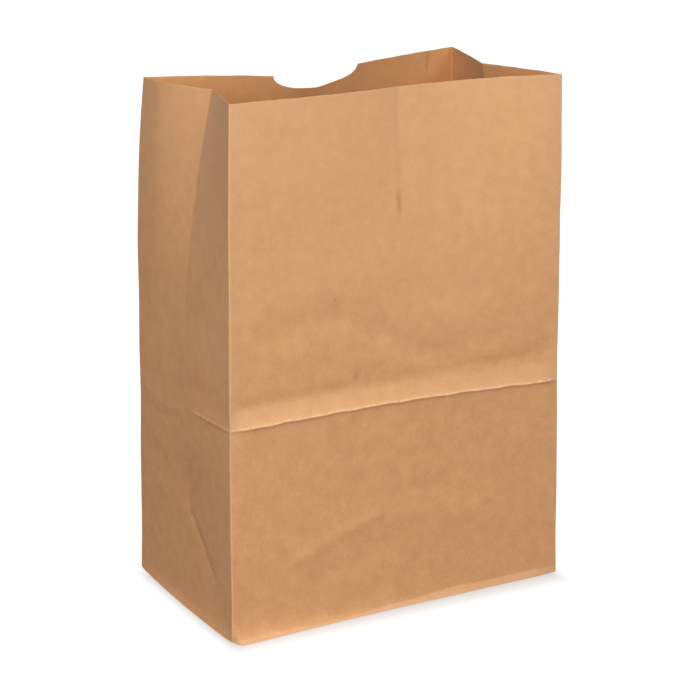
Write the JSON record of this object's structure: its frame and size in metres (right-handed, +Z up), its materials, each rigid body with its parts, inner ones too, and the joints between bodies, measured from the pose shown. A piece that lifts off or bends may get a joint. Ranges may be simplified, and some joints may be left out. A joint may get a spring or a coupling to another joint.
{
  "type": "paper grocery bag",
  "caption": "Flat-bottomed brown kraft paper bag standing open, with side gussets folding in, a cross crease and a thumb notch in its back rim.",
  "frame": {"origin": "middle of the folded bottom, on the surface the bag stands on", "axes": "+Z up to the open mouth; the plain front panel faces -Y, the back panel with the thumb notch faces +Y; +X to the right seen from the front"},
  "size_m": [0.3125, 0.1919, 0.4322],
  "materials": {
    "kraft_paper": "matte uncoated brown kraft paper with fine fibres and a faint machine-glazed sheen"
  },
  "bodies": {
    "root": {"paper_bag": "kraft_paper"}
  },
  "joints": []
}
